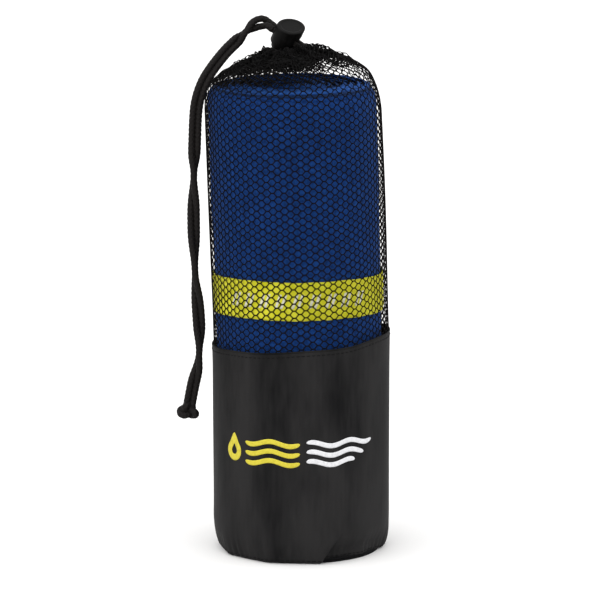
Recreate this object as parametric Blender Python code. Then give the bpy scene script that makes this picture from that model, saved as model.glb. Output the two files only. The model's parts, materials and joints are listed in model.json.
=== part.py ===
"""Rolled travel towel in a drawstring bag, built as separate pieces in metres, +Z up.

The origin is the centre of the bag's round base. -Y is the front of the bag and
+X is its right side. The upper part of the bag and the roll inside it lean to the left.
"""
import bmesh
import bpy
from math import atan2, cos, pi, radians, sin
from mathutils import Matrix, Vector

# ---- Driving dimensions, metres ------------------------------------------------
ROLL_RADIUS = 0.0446
ROLL_LENGTH = 0.2532            # a third of the towel's width
ROLL_PITCH = 0.0041             # three layers of cloth
ROLL_LAYER_GAP = 0.0005
ROLL_CORE = 0.0022
ROLL_FOOT_SHIFT = 0.0013
ROLL_LEAN = 0.01035             # first and second order sideways bend of the roll
ROLL_BEND = 0.0591

SLEEVE_WALL = 0.00065
SLEEVE_ROOM = 0.00375           # between the roll and the coated nylon
SLEEVE_TOP = 0.1174             # height of the nylon's top edge at the front
SLEEVE_TOP_SLOPE = 0.061        # the top edge rises to the right
CORNER_WIDTH = 0.0046           # the rounded foot of the nylon, across
CORNER_HEIGHT = 0.0130          # and up
BASE_THICKNESS = 0.0012
BINDING_WIDTH = 0.0060
BINDING_THICKNESS = 0.0010
TAPE_THICKNESS = 0.0003
TAPE_WIDTH = 0.0080
JOIN_TAPE_HEIGHT = 0.0070

NET_WALL = 0.0005
NET_ROOM = 0.0033               # between the roll and the net
NET_TAPER = 0.0003              # the net is this much narrower at its shoulder
NET_LEAN = 0.0366               # sideways shift of the net per metre of height
NET_LEAN_START = 0.1174         # the net is upright below this height
NET_FOOT_SHIFT = 0.0003
SHOULDER_DROP = 0.0080          # the net starts to draw in below the roll's top
DOME_HEIGHT = 0.0270
DOME_POWER = 2.6                # how late the dome turns in

MOUTH_X = -0.0090               # where the mouth is gathered
MOUTH_Y = 0.0025
CASING_DROP = 0.0035            # the casing's middle below the net's top
CASING_RING = 0.0100            # radius of the ring that the gathered casing makes
CASING_ROOM = 0.0007            # round the cord in its channel
CASING_WALL = 0.0007
CASING_GAP_SIDE = radians(-18)  # where the ring is open
CASING_GAP_HALF = radians(29)

BAND_HEIGHT = 0.0210
BAND_THICKNESS = 0.0007
BAND_CLEARANCE = 0.0007
BAND_MIDDLE = 0.1442
BAND_LEAN = 0.034               # direction in which the band slides up the roll

CORD_DIAMETER = 0.0032
STRAND_GAP = 0.0006
KNOT_WIDTH = 0.0117
KNOT_HEIGHT = 0.0098
KNOT_CENTRE = Vector((-0.0615, -0.0140, 0.0775))

LOCK_X = -0.0079
LOCK_Y = 0.0013
LOCK_RISE = 0.0111              # the cords' middle in the lock above the casing's
LOCK_AXIS = Vector((0.370, -0.476, 0.797))
LOCK_CORD_WAY = Vector((-0.805, 0.264, 0.530))
BARREL_RADIUS = 0.0075
BARREL_WALL = 0.0013
BARREL_CAP = 0.0010
BARREL_ABOVE = 0.0070           # cap's top over the middle of the cords
BARREL_BELOW = 0.0051
PLUNGER_CLEARANCE = 0.0003
PLUNGER_WEB = 0.0008
PLUNGER_OUT = 0.0031            # what stands out of the barrel
PLUNGER_TRAVEL = 0.0020
CORD_CLEARANCE = 0.00025
SPRING_RADIUS = 0.0032
SPRING_WIRE = 0.0004
SPRING_TURNS = 3

GAP = 0.0003                    # between pieces that touch

# ---- Sizes and places that follow from the driving dimensions --------------------
ROLL_FOOT = BASE_THICKNESS + BINDING_THICKNESS + 2 * GAP
SLEEVE_RADIUS = ROLL_RADIUS + SLEEVE_ROOM + SLEEVE_WALL
NET_RADIUS = ROLL_RADIUS + NET_ROOM + NET_WALL
NET_SHOULDER_RADIUS = NET_RADIUS - NET_TAPER
NET_SHOULDER = ROLL_FOOT + ROLL_LENGTH - SHOULDER_DROP
NET_TOP = NET_SHOULDER + DOME_HEIGHT
CASING_TUBE = CORD_DIAMETER / 2 + CASING_ROOM + CASING_WALL
CASING_CENTRE = Vector((MOUTH_X, MOUTH_Y, NET_TOP - CASING_DROP))
LOCK_CENTRE = Vector((LOCK_X, LOCK_Y, CASING_CENTRE.z + LOCK_RISE))
STRAND_SPACING = CORD_DIAMETER + STRAND_GAP

# The middle of the two strands, from the cord lock to the knot.
PAIR_ROUTE = [
    (-0.0142, 0.0034, 0.2867), (-0.0182, 0.0047, 0.2894), (-0.0224, 0.0053, 0.2899),
    (-0.0270, 0.0046, 0.2877), (-0.0315, 0.0029, 0.2836), (-0.0358, 0.0004, 0.2795),
    (-0.0401, -0.0034, 0.2755), (-0.0444, -0.0072, 0.2706), (-0.0484, -0.0108, 0.2654),
    (-0.0517, -0.0140, 0.2602), (-0.0543, -0.0155, 0.2541), (-0.0561, -0.0160, 0.2470),
    (-0.0569, -0.0160, 0.2388), (-0.0573, -0.0158, 0.2290), (-0.0578, -0.0155, 0.2150),
    (-0.0581, -0.0152, 0.1980), (-0.0582, -0.0150, 0.1820), (-0.0579, -0.0148, 0.1660),
    (-0.0574, -0.0146, 0.1520), (-0.0564, -0.0144, 0.1400), (-0.0556, -0.0142, 0.1280),
    (-0.0554, -0.0140, 0.1170), (-0.0562, -0.0140, 0.1045), (-0.0588, -0.0140, 0.0940),
    (-0.0611, -0.0140, 0.0830),
]
# How far the pair is twisted at each distance along it; the first is set by the lock.
PAIR_TWIST = [
    (0.014, 0), (0.025, -90), (0.037, -180), (0.092, -180), (0.108, -270), (0.133, -360),
    (0.160, -450), (0.186, -540), (0.206, -630), (0.226, -720), (0.260, -720),
]
TWIST_START = 0.007

ROUND_STEPS = 48
LOCK_STEPS = 32
ROLL_STEPS = 15                 # flats in one turn of the roll


# ---- Helpers ---------------------------------------------------------------------
def clear_scene():
    for old in list(bpy.data.objects):
        bpy.data.objects.remove(old, do_unlink=True)


def make_material(name, colour, roughness, metallic=0.0):
    material = bpy.data.materials.new(name)
    material.use_nodes = True
    shader = material.node_tree.nodes["Principled BSDF"]
    shader.inputs["Base Color"].default_value = (*colour, 1.0)
    shader.inputs["Roughness"].default_value = roughness
    shader.inputs["Metallic"].default_value = metallic
    return material


def add_object(name, data, material, parent=None):
    piece = bpy.data.objects.new(name, data)
    bpy.context.scene.collection.objects.link(piece)
    piece.data.materials.append(material)
    piece.parent = parent
    return piece


def mesh_from(work, name, smooth_angle=radians(35)):
    bmesh.ops.recalc_face_normals(work, faces=work.faces[:])
    data = bpy.data.meshes.new(name)
    work.to_mesh(data)
    work.free()
    data.shade_smooth()
    data.set_sharp_from_angle(angle=smooth_angle)
    return data


def turned(name, profile, steps, move=None):
    """A mesh turned about Z from (radius, height) points; a closed outline makes a ring."""
    work = bmesh.new()
    points = [work.verts.new((radius, 0.0, height)) for radius, height in profile]
    edges = [work.edges.new(pair) for pair in zip(points, points[1:])]
    if profile[0][0] > 0 or profile[-1][0] > 0:
        edges.append(work.edges.new((points[-1], points[0])))
    bmesh.ops.spin(work, geom=points + edges, cent=(0, 0, 0), axis=(0, 0, 1),
                   angle=2 * pi, steps=steps, use_merge=True)
    bmesh.ops.remove_doubles(work, verts=work.verts[:], dist=1e-6)
    if move:
        for vert in work.verts:
            vert.co = move(vert.co)
    return mesh_from(work, name)


def skinned(name, loops, closed):
    """A solid through equal loops of points: joined in a ring, or capped at both ends."""
    work = bmesh.new()
    rows = [[work.verts.new(point) for point in loop] for loop in loops]
    count = len(rows[0])
    for index in range(len(rows) if closed else len(rows) - 1):
        row = rows[index]
        after = rows[(index + 1) % len(rows)]
        for corner in range(count):
            ahead = (corner + 1) % count
            work.faces.new((row[corner], row[ahead], after[ahead], after[corner]))
    if not closed:
        work.faces.new(rows[0])
        work.faces.new(rows[-1])
    return mesh_from(work, name)


def smooth_curve(points, spacing):
    """Evenly spaced points on a Catmull-Rom curve through the given ones."""
    given = [Vector(point) for point in points]
    padded = [given[0] * 2 - given[1]] + given + [given[-1] * 2 - given[-2]]
    fine = [given[0]]
    for a, b, c, d in zip(padded, padded[1:], padded[2:], padded[3:]):
        for step in range(1, 13):
            t = step / 12
            fine.append(0.5 * (2 * b + (c - a) * t + (2 * a - 5 * b + 4 * c - d) * t * t
                               + (3 * b - a - 3 * c + d) * t * t * t))
    total = sum((q - p).length for p, q in zip(fine, fine[1:]))
    count = max(2, round(total / spacing))
    even = [fine[0]]
    walked = 0.0
    for p, q in zip(fine, fine[1:]):
        length = (q - p).length
        while len(even) < count and walked + length >= total * len(even) / count:
            even.append(p.lerp(q, (total * len(even) / count - walked) / length))
        walked += length
    even.append(fine[-1])
    return even


def cord_tube(name, points, material):
    data = bpy.data.curves.new(name, "CURVE")
    data.dimensions = "3D"
    data.bevel_depth = CORD_DIAMETER / 2
    data.bevel_resolution = 2
    data.use_fill_caps = True
    spline = data.splines.new("POLY")
    spline.points.add(len(points) - 1)
    for slot, point in zip(spline.points, points):
        slot.co = (*point, 1.0)
    return add_object(name, data, material)


# ---- The bag's shape ---------------------------------------------------------------
def net_shift(height):
    """How far the net's middle stands aside of the base's middle at a height."""
    straight = NET_FOOT_SHIFT - NET_LEAN * (height - NET_LEAN_START)
    if height <= NET_SHOULDER:
        return Vector((straight, 0.0, 0.0))
    drawn = ((height - NET_SHOULDER) / (NET_TOP - NET_SHOULDER)) ** 3
    return Vector((straight, 0.0, 0.0)).lerp(Vector((MOUTH_X, MOUTH_Y, 0.0)), min(1.0, drawn))


def net_outside(height):
    if height <= NET_SHOULDER:
        part = (height - SLEEVE_TOP) / (NET_SHOULDER - SLEEVE_TOP)
        return NET_RADIUS + (NET_SHOULDER_RADIUS - NET_RADIUS) * part
    mouth = CASING_RING + CASING_TUBE + GAP + NET_WALL
    rise = (height - NET_SHOULDER) / (NET_TOP - NET_SHOULDER)
    return mouth + (NET_SHOULDER_RADIUS - mouth) * (1 - rise ** DOME_POWER)


def roll_shift(height):
    """How far the roll's middle stands aside at a height: a slight bend to the left."""
    return ROLL_FOOT_SHIFT - ROLL_LEAN * height - ROLL_BEND * height * height


def top_edge_rise(x):
    return SLEEVE_TOP_SLOPE * x


def build_base(nylon, binding):
    edge = SLEEVE_RADIUS - CORNER_WIDTH - SLEEVE_WALL - GAP
    outline = [(0.0, 0.0), (edge - 0.0003, 0.0), (edge, 0.0003),
               (edge, BASE_THICKNESS), (0.0, BASE_THICKNESS)]
    add_object("base_panel", turned("base_panel", outline, ROUND_STEPS), nylon)
    low = BASE_THICKNESS + GAP
    high = low + BINDING_THICKNESS
    outline = [(edge - BINDING_WIDTH, low), (edge, low),
               (edge, high), (edge - BINDING_WIDTH, high)]
    add_object("base_seam_binding", turned("base_seam_binding", outline, ROUND_STEPS), binding)


def sleeve_side(inset):
    """The nylon's outline from its foot seam up to where it is straight."""
    foot = SLEEVE_RADIUS - CORNER_WIDTH
    points = []
    for step in range(6):
        turn = radians(18 * step)
        points.append((foot - inset + CORNER_WIDTH * sin(turn),
                       inset + (CORNER_HEIGHT - inset) * (1 - cos(turn))))
    return points


def build_sleeve(nylon):
    def lift_top(point):
        share = max(0.0, (point.z - CORNER_HEIGHT) / (SLEEVE_TOP - CORNER_HEIGHT))
        return point + Vector((0.0, 0.0, top_edge_rise(point.x) * share))

    outer = sleeve_side(0.0)
    inner = sleeve_side(SLEEVE_WALL)
    middle = (CORNER_HEIGHT + SLEEVE_TOP) / 2
    outline = outer + [(SLEEVE_RADIUS, middle), (SLEEVE_RADIUS, SLEEVE_TOP)]
    outline += [(SLEEVE_RADIUS - SLEEVE_WALL, SLEEVE_TOP), (SLEEVE_RADIUS - SLEEVE_WALL, middle)]
    outline += inner[::-1]
    add_object("nylon_sleeve", turned("nylon_sleeve", outline, ROUND_STEPS, lift_top), nylon)


def build_join_tape(binding):
    def lift(point):
        return point + Vector((0.0, 0.0, top_edge_rise(point.x)))

    outside = SLEEVE_RADIUS - SLEEVE_WALL - GAP
    inside = outside - TAPE_THICKNESS
    high = SLEEVE_TOP - GAP
    low = high - JOIN_TAPE_HEIGHT
    outline = [(inside, low), (outside, low), (outside, high), (inside, high)]
    add_object("mesh_join_tape", turned("mesh_join_tape", outline, ROUND_STEPS, lift), binding)


def build_net(net):
    foot = SLEEVE_TOP + GAP
    straight = [foot + (NET_SHOULDER - foot) * step / 3 for step in range(4)]
    dome = [NET_SHOULDER + (NET_TOP - NET_SHOULDER) * sin(radians(90) * step / 7)
            for step in range(1, 8)]
    heights = straight + dome
    outer = [(net_outside(height), height) for height in heights]
    inner = [(radius - NET_WALL, height - (NET_WALL if height > NET_SHOULDER else 0.0))
             for radius, height in outer]

    def lean(point):
        rise = top_edge_rise(point.x) if point.z < foot + GAP else 0.0
        return point + net_shift(point.z) + Vector((0.0, 0.0, rise))

    add_object("mesh_sleeve", turned("mesh_sleeve", outer + inner[::-1], ROUND_STEPS, lean), net)


def build_seam_tape(name, side, heights, middle, radius, binding):
    """A thin tape up the inside of the bag, at the left (-1) or right (+1) side seam."""
    loops = []
    for step in range(5):
        turn = (step / 4 - 0.5) * TAPE_WIDTH / radius(heights[0])
        across = Vector((side * cos(turn), sin(turn), 0.0))
        up = [middle(z) + across * radius(z) + Vector((0, 0, z)) for z in heights]
        down = [middle(z) + across * (radius(z) - TAPE_THICKNESS) + Vector((0, 0, z))
                for z in heights[::-1]]
        loops.append(up + down)
    add_object(name, skinned(name, loops, closed=False), binding)


def build_seam_tapes(binding):
    join_low = SLEEVE_TOP - GAP - JOIN_TAPE_HEIGHT
    for side, name in ((-1, "left"), (1, "right")):
        lift = top_edge_rise(side * SLEEVE_RADIUS)
        heights = [CORNER_HEIGHT + GAP, join_low + lift - GAP]
        build_seam_tape("nylon_seam_tape_" + name, side, heights,
                        lambda z: Vector((0.0, 0.0, 0.0)),
                        lambda z: SLEEVE_RADIUS - SLEEVE_WALL - GAP, binding)
        foot = SLEEVE_TOP + lift + 2 * GAP
        heights = [foot + (NET_SHOULDER - GAP - foot) * step / 4 for step in range(5)]
        build_seam_tape("mesh_seam_tape_" + name, side, heights, net_shift,
                        lambda z: net_outside(z) - NET_WALL - GAP, binding)


def build_casing(net):
    start = CASING_GAP_SIDE + CASING_GAP_HALF
    sweep = 2 * pi - 2 * CASING_GAP_HALF
    steps = 22
    loops = []
    for corner in range(8):
        turn = radians(45 * corner + 22.5)
        loop = []
        for size, order in ((CASING_TUBE, 1), (CASING_TUBE - CASING_WALL, -1)):
            arc = []
            for step in range(steps + 1):
                angle = start + sweep * step / steps
                reach = CASING_RING + size * cos(turn)
                arc.append(CASING_CENTRE + Vector((reach * cos(angle), reach * sin(angle),
                                                   size * sin(turn))))
            loop += arc[::order]
        loops.append(loop)
    add_object("mouth_casing", skinned("mouth_casing", loops, closed=True), net)


# ---- The towel and its band ----------------------------------------------------------
def build_towel(terry):
    levels = [ROLL_FOOT, ROLL_FOOT + ROLL_LENGTH * 0.55, ROLL_FOOT + ROLL_LENGTH]
    turns = (ROLL_RADIUS - ROLL_CORE) / ROLL_PITCH - 1
    steps = round(turns * ROLL_STEPS)
    loops = []
    for step in range(steps + 1):
        angle = radians(90) + 2 * pi * (step - steps) / ROLL_STEPS
        outside = ROLL_RADIUS - ROLL_PITCH * (steps - step) / ROLL_STEPS
        inside = outside - (ROLL_PITCH - ROLL_LAYER_GAP)
        ray = Vector((cos(angle), sin(angle), 0.0))
        up = [ray * inside + Vector((roll_shift(z), 0.0, z)) for z in levels]
        down = [ray * outside + Vector((roll_shift(z), 0.0, z)) for z in levels[::-1]]
        loops.append(up + down)
    add_object("towel", skinned("towel", loops, closed=False), terry)


def build_band(elastic):
    axis = bpy.data.objects.new("band_axis", None)
    bpy.context.scene.collection.objects.link(axis)
    axis.location = (roll_shift(BAND_MIDDLE), 0.0, BAND_MIDDLE)
    axis.rotation_euler = (0.0, -atan2(BAND_LEAN, 1.0), 0.0)
    inside = ROLL_RADIUS + BAND_CLEARANCE
    outside = inside + BAND_THICKNESS
    half = BAND_HEIGHT / 2
    outline = [(inside, -half), (outside, -half), (outside, half), (inside, half)]
    add_object("roll_band", turned("roll_band", outline, ROUND_STEPS), elastic, axis)


# ---- The cord lock --------------------------------------------------------------------
def lock_frame():
    """Axes of the lock: the way of the cords, the way across them, and its own axis."""
    axis = LOCK_AXIS.normalized()
    way = (LOCK_CORD_WAY - axis * LOCK_CORD_WAY.dot(axis)).normalized()
    return way, axis.cross(way), axis


def slot_cutter(name, low, high, parent):
    """A rounded block that cuts the way for both cords."""
    work = bmesh.new()
    width = STRAND_SPACING + CORD_DIAMETER + 2 * CORD_CLEARANCE
    size = Matrix.Diagonal((4 * BARREL_RADIUS, width, high - low, 1.0))
    place = Matrix.Translation((0.0, 0.0, (low + high) / 2))
    bmesh.ops.create_cube(work, size=1.0, matrix=place @ size)
    along = [edge for edge in work.edges
             if abs(edge.verts[0].co.x - edge.verts[1].co.x) > BARREL_RADIUS]
    bmesh.ops.bevel(work, geom=along, offset=0.0007, segments=2, affect="EDGES")
    cutter = add_object(name, mesh_from(work, name), make_material(name, (1, 0, 0), 0.5), parent)
    cutter.hide_render = True
    cutter.display_type = "WIRE"
    return cutter


def cut(piece, cutter):
    modifier = piece.modifiers.new("cord_way", "BOOLEAN")
    modifier.operation = "DIFFERENCE"
    modifier.solver = "EXACT"
    modifier.object = cutter


def build_lock(plastic, steel):
    way, across, axis = lock_frame()
    holder = bpy.data.objects.new("lock_axis", None)
    bpy.context.scene.collection.objects.link(holder)
    turn = Matrix((way, across, axis)).transposed()
    holder.matrix_world = Matrix.Translation(LOCK_CENTRE) @ turn.to_4x4()

    cord_room = CORD_DIAMETER / 2 + CORD_CLEARANCE
    bore = BARREL_RADIUS - BARREL_WALL
    edge = 0.0006
    outline = [(0.0, BARREL_ABOVE), (BARREL_RADIUS - edge, BARREL_ABOVE),
               (BARREL_RADIUS - edge * 0.3, BARREL_ABOVE - edge * 0.3),
               (BARREL_RADIUS, BARREL_ABOVE - edge), (BARREL_RADIUS, edge - BARREL_BELOW),
               (BARREL_RADIUS - edge, -BARREL_BELOW), (bore, -BARREL_BELOW),
               (bore, BARREL_ABOVE - BARREL_CAP), (0.0, BARREL_ABOVE - BARREL_CAP)]
    barrel = add_object("cord_lock_barrel", turned("cord_lock_barrel", outline, LOCK_STEPS),
                        plastic, holder)
    cut(barrel, slot_cutter("barrel_slot_cutter", -cord_room, cord_room + PLUNGER_TRAVEL, holder))

    radius = bore - PLUNGER_CLEARANCE
    top = cord_room + PLUNGER_WEB
    bottom = -BARREL_BELOW - PLUNGER_OUT
    outline = [(0.0, top), (radius, top), (radius, bottom + edge),
               (radius - edge, bottom), (0.0, bottom)]
    plunger = add_object("cord_lock_plunger", turned("cord_lock_plunger", outline, LOCK_STEPS),
                         plastic, holder)
    cut(plunger, slot_cutter("plunger_slot_cutter", -cord_room - PLUNGER_TRAVEL, cord_room, holder))

    build_spring(top + GAP, BARREL_ABOVE - BARREL_CAP - GAP, steel, holder)


def build_spring(low, high, steel, holder):
    """A short helix between the plunger's top and the barrel's cap."""
    data = bpy.data.curves.new("cord_lock_spring", "CURVE")
    data.dimensions = "3D"
    data.bevel_depth = SPRING_WIRE / 2
    data.bevel_resolution = 1
    data.use_fill_caps = True
    steps = SPRING_TURNS * 14
    spline = data.splines.new("POLY")
    spline.points.add(steps)
    rise = high - low - SPRING_WIRE
    for step, slot in enumerate(spline.points):
        turn = 2 * pi * SPRING_TURNS * step / steps
        height = low + SPRING_WIRE / 2 + rise * step / steps
        slot.co = (SPRING_RADIUS * cos(turn), SPRING_RADIUS * sin(turn), height, 1.0)
    add_object("cord_lock_spring", data, steel, holder)


# ---- The drawcord -----------------------------------------------------------------------
def twist_at(distance, first):
    """The pair's twist at a distance, eased between the listed places."""
    stops = [(0.0, first), (TWIST_START, first)] + [(s, radians(a)) for s, a in PAIR_TWIST]
    for (s0, a0), (s1, a1) in zip(stops, stops[1:]):
        if distance <= s1:
            part = (distance - s0) / (s1 - s0)
            return a0 + (a1 - a0) * part * part * (3 - 2 * part)
    return stops[-1][1]


def pair_frames():
    """Each point of the pair's middle, with the two directions across it."""
    points = smooth_curve(PAIR_ROUTE, 0.0045)
    frames = []
    for index, point in enumerate(points):
        before = points[max(0, index - 1)]
        after = points[min(len(points) - 1, index + 1)]
        along = (after - before).normalized()
        side = Vector((0.0, 1.0, 0.0)).cross(along).normalized()
        frames.append((point, side, along.cross(side)))
    return frames


def build_strands(cord):
    across = lock_frame()[1]
    frames = pair_frames()
    side, depth = frames[0][1:]
    first = atan2(-across.dot(depth), -across.dot(side))
    for name, half in (("drawcord_strand_a", 0.5), ("drawcord_strand_b", -0.5)):
        path = []
        distance = 0.0
        previous = frames[0][0]
        for point, side, depth in frames:
            distance += (point - previous).length
            previous = point
            turn = twist_at(distance, first)
            path.append(point + (side * cos(turn) + depth * sin(turn)) * STRAND_SPACING * half)
        cord_tube(name, path, cord)


def build_knot(cord):
    work = bmesh.new()
    size = Matrix.Diagonal((KNOT_WIDTH, KNOT_HEIGHT, KNOT_HEIGHT, 1.0))
    bmesh.ops.create_uvsphere(work, u_segments=16, v_segments=10, radius=0.5, matrix=size)
    knot = add_object("drawcord_knot", mesh_from(work, "drawcord_knot"), cord)
    knot.location = KNOT_CENTRE


def build_mouth_loop(cord):
    """The cord's hidden middle: through the lock, round the casing and back through the lock."""
    way, across, _ = lock_frame()
    reach = BARREL_RADIUS + 0.0022
    half = STRAND_SPACING / 2
    back = LOCK_CENTRE - across * half
    front = LOCK_CENTRE + across * half
    ring = []
    start = CASING_GAP_SIDE + CASING_GAP_HALF
    sweep = 2 * pi - 2 * CASING_GAP_HALF
    for step in range(17):
        angle = start + sweep * step / 16
        ring.append(CASING_CENTRE + CASING_RING * Vector((cos(angle), sin(angle), 0.0)))
    route = [back + way * BARREL_RADIUS, back + way * 0.004, back, back - way * 0.004,
             back - way * BARREL_RADIUS, back - way * reach,
             CASING_CENTRE + Vector((0.0113, -0.0017, 0.0047)),
             CASING_CENTRE + Vector((0.0111, 0.0002, 0.0020))]
    route += ring
    route += [CASING_CENTRE + Vector((0.0094, -0.0065, 0.0015)),
              CASING_CENTRE + Vector((0.0097, -0.0061, 0.0035)),
              front - way * reach, front - way * BARREL_RADIUS, front - way * 0.004,
              front, front + way * 0.004, front + way * BARREL_RADIUS]
    cord_tube("drawcord_mouth_loop", smooth_curve(route, 0.0016), cord)


# ---- Build --------------------------------------------------------------------------------
def main():
    clear_scene()
    nylon = make_material("coated_nylon", (0.030, 0.030, 0.031), 0.55)
    net = make_material("net", (0.010, 0.010, 0.011), 0.70)
    binding = make_material("binding_tape", (0.012, 0.012, 0.013), 0.80)
    terry = make_material("towel_cloth", (0.010, 0.024, 0.095), 0.95)
    elastic = make_material("band_elastic", (0.48, 0.46, 0.025), 0.75)
    cord = make_material("braided_cord", (0.008, 0.008, 0.009), 0.75)
    plastic = make_material("lock_plastic", (0.030, 0.030, 0.031), 0.42)
    steel = make_material("spring_steel", (0.55, 0.55, 0.56), 0.30, 1.0)

    build_base(nylon, binding)
    build_sleeve(nylon)
    build_join_tape(binding)
    build_net(net)
    build_seam_tapes(binding)
    build_casing(net)
    build_towel(terry)
    build_band(elastic)
    build_lock(plastic, steel)
    build_mouth_loop(cord)
    build_strands(cord)
    build_knot(cord)


main()
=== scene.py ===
"""The looks of a rolled travel towel in its drawstring bag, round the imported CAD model.

Metres, +Z up. The bag's front is -Y and its right side +X; the cord hangs on the left.
"""

import json
from math import atan2, cos, pi, radians, sin

import bmesh
import bpy
import numpy as np
from mathutils import Matrix, Vector


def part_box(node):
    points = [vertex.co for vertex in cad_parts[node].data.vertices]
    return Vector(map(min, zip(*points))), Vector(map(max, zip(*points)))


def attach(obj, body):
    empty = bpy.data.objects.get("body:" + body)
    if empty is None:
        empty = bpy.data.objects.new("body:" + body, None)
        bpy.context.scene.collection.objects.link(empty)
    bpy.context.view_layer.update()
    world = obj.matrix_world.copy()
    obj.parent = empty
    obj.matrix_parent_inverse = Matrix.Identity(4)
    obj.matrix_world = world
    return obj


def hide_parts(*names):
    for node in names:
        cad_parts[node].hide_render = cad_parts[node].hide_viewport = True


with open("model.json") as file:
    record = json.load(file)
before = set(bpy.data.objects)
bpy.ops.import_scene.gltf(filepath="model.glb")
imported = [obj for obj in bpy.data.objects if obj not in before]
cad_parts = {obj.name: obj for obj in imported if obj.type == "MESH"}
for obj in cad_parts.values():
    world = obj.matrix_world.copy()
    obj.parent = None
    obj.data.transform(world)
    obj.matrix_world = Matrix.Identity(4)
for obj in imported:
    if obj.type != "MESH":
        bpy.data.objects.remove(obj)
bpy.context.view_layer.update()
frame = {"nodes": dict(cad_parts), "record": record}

MM = 0.001
TURN = 2 * pi
FRONT = radians(-90)

# ---- Places and sizes read from the frame ------------------------------------------------
SLEEVE_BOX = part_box("nylon_sleeve")
TOWEL_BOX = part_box("towel")
BAND_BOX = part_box("roll_band")
CASING_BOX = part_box("mouth_casing")
KNOT_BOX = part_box("drawcord_knot")
JOINTS = {joint["name"]: joint for joint in frame["record"]["behaviour"]["joints"]}

SLEEVE_RADIUS = (SLEEVE_BOX[1][0] - SLEEVE_BOX[0][0]) / 2
CASING_MIDDLE = (Vector(CASING_BOX[0]) + Vector(CASING_BOX[1])) / 2
KNOT_MIDDLE = (Vector(KNOT_BOX[0]) + Vector(KNOT_BOX[1])) / 2
BAND_MIDDLE = Vector(JOINTS["roll_band_slide"]["pos_m"])
LOCK_ACROSS = Vector(JOINTS["plunger_press"]["axis"]).cross(Vector(JOINTS["cord_lock_slide"]["axis"]))

# ---- Sizes of the looks ------------------------------------------------------------------
NYLON_TOP = 117.4 * MM              # the nylon's top edge at the front
NYLON_SLOPE = 0.061                 # its rise to the right
FOOT_WIDTH = 4.6 * MM               # the rounding of the nylon's foot
FOOT_HEIGHT = 13.0 * MM
PRINT_LIFT = 0.06 * MM              # how far the print stands off the nylon

NET_CELLS = 48                      # holes in one round of the net
NET_TUBE_ROWS = 68                  # rows of holes up the side, and in the dome
NET_DOME_ROWS = 34
GATHERS = [(8, 1, 2.4, 1.4, 0.45), (14, 3, 4.1, 2.6, 1.0), (15, 2, 5.3, 3.4, 0.35)]  # see build_net
STEPS = 6                           # points of the surface for each row of holes
NET_TUCK = 3.0 * MM                 # what the nylon's hem covers
NET_RADII = (48.1 * MM, 48.0 * MM)  # at the nylon's top and at the shoulder
STRAND_WIDTH = 0.39 * MM            # half of a net strand, across and through
STRAND_DEPTH = 0.27 * MM
STRAND_SIDES = 3
KNOT_SPREAD = 0.98 * MM             # half of the level bar between two holes
SHOULDER = 245.0 * MM               # where the net's side ends and its dome starts
MOUTH_RADIUS = 11.2 * MM
MOUTH_LIFT = 2.4 * MM               # the gathered casing stands this much above the CAD ring
PLEAT_HEIGHT = 2.8 * MM

TOWEL_LENGTH = 1.52
LAYER = 1.27 * MM                   # one thickness of the towel
TOWEL_OUTSIDE = 46.0 * MM           # the roll's radius
TURN_STEPS = 40                     # points of the roll in each turn
ROLL_ASIDE = -0.1 * MM              # how far the roll lies to the right of its CAD place
ROLL_TOP_WAY = (0.0, -0.068, 1.0)   # square to the roll's slanted top
ROLL_TOP = 257.4 * MM               # where that top is, measured along ROLL_TOP_WAY
BAND_LEAN = -0.004                  # the band sits nearly level, though the roll leans
BAND_RADIUS = 46.0 * MM             # for what is measured round the band: its weave and its strokes

BRAID_RADIUS = 1.90 * MM            # over the braid's high yarns
KNOT_BRAID_RADIUS = 2.05 * MM
BRAID_SIDES = 24

LOCK_MIDDLE = Vector((-7.9, 1.3, 282.6)) * MM
LOCK_SLOT = 7.5 * MM                # the width of the cords' slot, and the rounding of its edges
SLOT_ROUNDING = 1.2 * MM
LOCK_SLANT = (-0.217, -0.125)       # the cap leans back towards the bag's left
SLANT_START = 3.9 * MM              # the slant sets in from here, over this much height
SLANT_REACH = 2.4 * MM

# The dome's height over the shoulder, in mm, at these parts of the way in to the mouth.
DOME_WAY = [0.0, 0.02, 0.07, 0.17, 0.37, 0.62, 0.86, 1.0]
DOME_RIGHT = [0.0, 5.0, 12.0, 19.6, 25.4, 30.0, 32.0, 32.6]
DOME_LEFT = [0.0, 7.0, 12.0, 15.2, 19.8, 24.0, 27.4, 29.6]

# The middle of the two strands, from the cord lock to the knot.
PAIR_ROUTE = [
    (-0.0142, 0.0034, 0.2867), (-0.0182, 0.0047, 0.2894), (-0.0224, 0.0053, 0.2899),
    (-0.0270, 0.0046, 0.2877), (-0.0315, 0.0029, 0.2836), (-0.0358, 0.0004, 0.2795),
    (-0.0401, -0.0034, 0.2755), (-0.0444, -0.0072, 0.2706), (-0.0484, -0.0108, 0.2654),
    (-0.0517, -0.0140, 0.2602), (-0.0543, -0.0155, 0.2541), (-0.0561, -0.0160, 0.2470),
    (-0.0569, -0.0160, 0.2388), (-0.0573, -0.0158, 0.2290), (-0.0578, -0.0155, 0.2150),
    (-0.0581, -0.0152, 0.1980), (-0.0582, -0.0150, 0.1820), (-0.0579, -0.0148, 0.1660),
    (-0.0574, -0.0146, 0.1520), (-0.0564, -0.0144, 0.1400), (-0.0556, -0.0142, 0.1280),
    (-0.0554, -0.0140, 0.1170), (-0.0562, -0.0140, 0.1045), (-0.0588, -0.0140, 0.0940),
    (-0.0613, -0.0140, 0.0812),
]

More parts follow.
